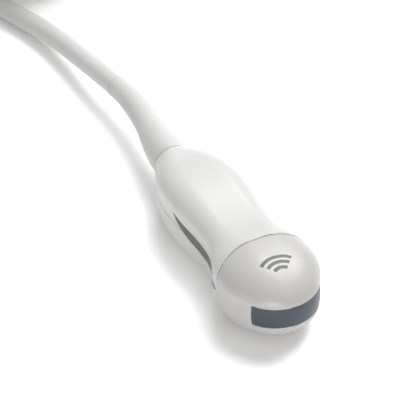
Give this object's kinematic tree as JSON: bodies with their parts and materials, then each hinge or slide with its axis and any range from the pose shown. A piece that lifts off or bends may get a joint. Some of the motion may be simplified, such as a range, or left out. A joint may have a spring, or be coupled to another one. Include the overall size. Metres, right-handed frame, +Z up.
{
  "type": "ultrasound transducer probe",
  "caption": "Small curved-array ultrasound probe with a dark wrap-round lens, waisted white handle, side strips, tied cord and a lever-locked plug.",
  "frame": {"origin": "on the surface that the probe lies on, under the middle of its box (the cord and plug not counted)", "axes": "+X out of the nose along the probe, +Z up, +Y to the probe's left"},
  "size_m": [0.4017, 0.0858, 0.0765],
  "materials": {
    "lens_rubber": "satin",
    "nose_shell": "satin",
    "handle_shell": "satin",
    "seam_rubber": "matte",
    "grip_inlay": "fine textured",
    "boot_rubber": "satin",
    "cord_jacket": "satin",
    "matching_resin": "matte",
    "piezo_ceramic": "matte",
    "backing_resin": "matte",
    "cast_aluminium": "bead blasted",
    "film_circuit": "glossy film",
    "circuit_board": "solder mask",
    "connector_body": "moulded",
    "coax_wire": "smooth",
    "plated_steel": "nickel plated",
    "copper_foil": "satin",
    "crimped_brass": "satin",
    "plug_shell": "fine textured",
    "contact_block": "moulded",
    "gold_contact": "gold plated",
    "lever_plastic": "fine textured",
    "strap_fabric": "hook and loop"
  },
  "bodies": {
    "probe": {"acoustic_lens": "lens_rubber", "nosepiece": "nose_shell", "seam_gasket": "seam_rubber", "matching_layer_outer": "matching_resin", "matching_layer_inner": "matching_resin", "piezo_array": "piezo_ceramic", "backing_block": "backing_resin", "array_carrier": "cast_aluminium", "film_circuit_upper": "film_circuit", "film_circuit_lower": "film_circuit", "board_chassis": "cast_aluminium", "board_upper": "circuit_board", "board_lower": "circuit_board", "film_clamps": "connector_body", "coax_headers": "connector_body", "coax_wires": "coax_wire", "board_screws": "plated_steel", "shield_sleeve": "copper_foil", "cable_ferrule": "crimped_brass", "strain_relief": "boot_rubber", "cable_core": "cord_jacket", "side_inlay_left": "grip_inlay", "side_inlay_right": "grip_inlay", "handle_upper": "handle_shell", "handle_lower": "handle_shell", "cord": "cord_jacket", "cord_hank": "cord_jacket", "cord_tie": "strap_fabric", "cord_tail": "cord_jacket", "plug_boot": "boot_rubber", "plug_cable_core": "cord_jacket", "plug_cable_clamp": "connector_body", "plug_wires": "coax_wire", "plug_lower_housing": "plug_shell", "plug_upper_housing": "plug_shell", "plug_shroud": "plated_steel", "plug_contact_block": "contact_block", "plug_contacts": "gold_contact", "plug_board": "circuit_board", "plug_headers": "connector_body", "plug_screws": "plated_steel", "lock_bush": "crimped_brass"},
    "plug_lock": {"lock_shaft": "plated_steel", "lock_clip": "plated_steel", "lock_lever": "lever_plastic"}
  },
  "joints": [
    {"name": "lock_turn", "type": "hinge", "parent": "probe", "child": "plug_lock", "pos_m": [-0.206, 0.0175, 0.0644], "axis": [0, 0, 1], "range_deg": [0, 90]}
  ]
}
